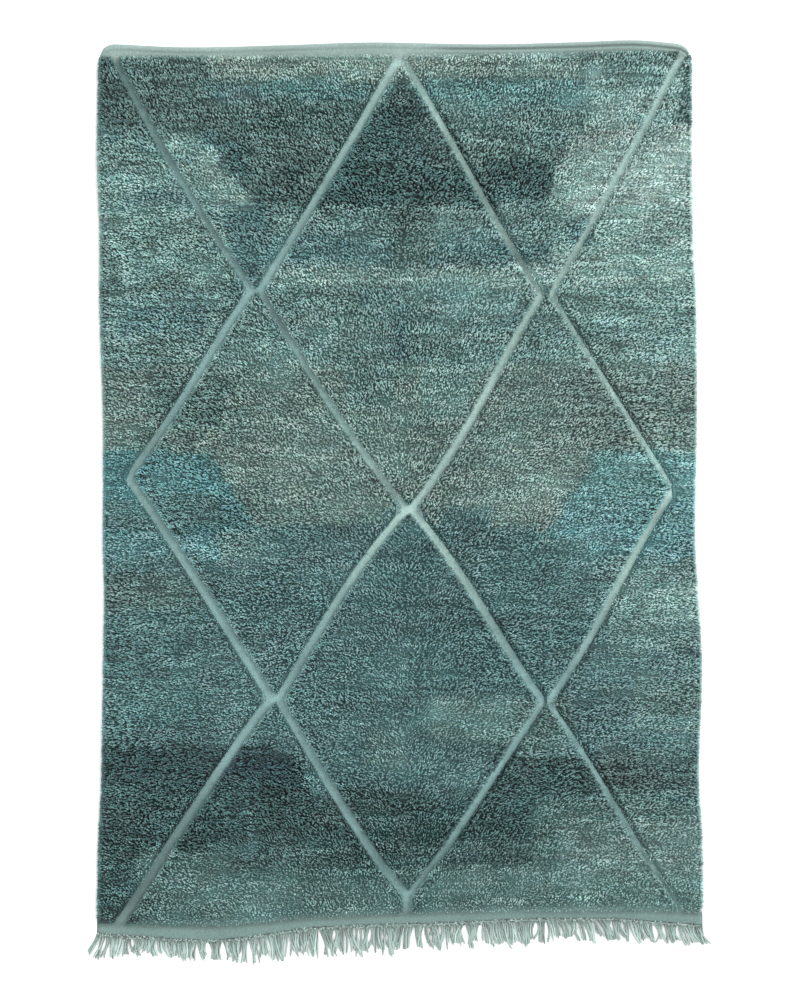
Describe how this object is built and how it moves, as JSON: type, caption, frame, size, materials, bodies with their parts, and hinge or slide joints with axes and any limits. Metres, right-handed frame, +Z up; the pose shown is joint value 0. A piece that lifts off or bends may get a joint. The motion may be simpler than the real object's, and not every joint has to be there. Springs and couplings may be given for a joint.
{
  "type": "beni ourain rug",
  "caption": "Hand-knotted wool shag rug lying flat, with a sunk diamond lattice between deep pile fields, a rolled hem at the head and a warp fringe at the foot.",
  "frame": {"origin": "on the floor, under the middle of the rug's bounding box", "axes": "+X across the rug, +Y along it to the hemmed head, away from the fringe, +Z up out of the pile"},
  "size_m": [2.0339, 3.0483, 0.0312],
  "materials": {
    "pile_wool": "matte",
    "weave_wool": "matte",
    "fringe_wool": "matte"
  },
  "bodies": {
    "root": {"rug_body": "pile_wool", "fringe": "fringe_wool"}
  },
  "joints": []
}
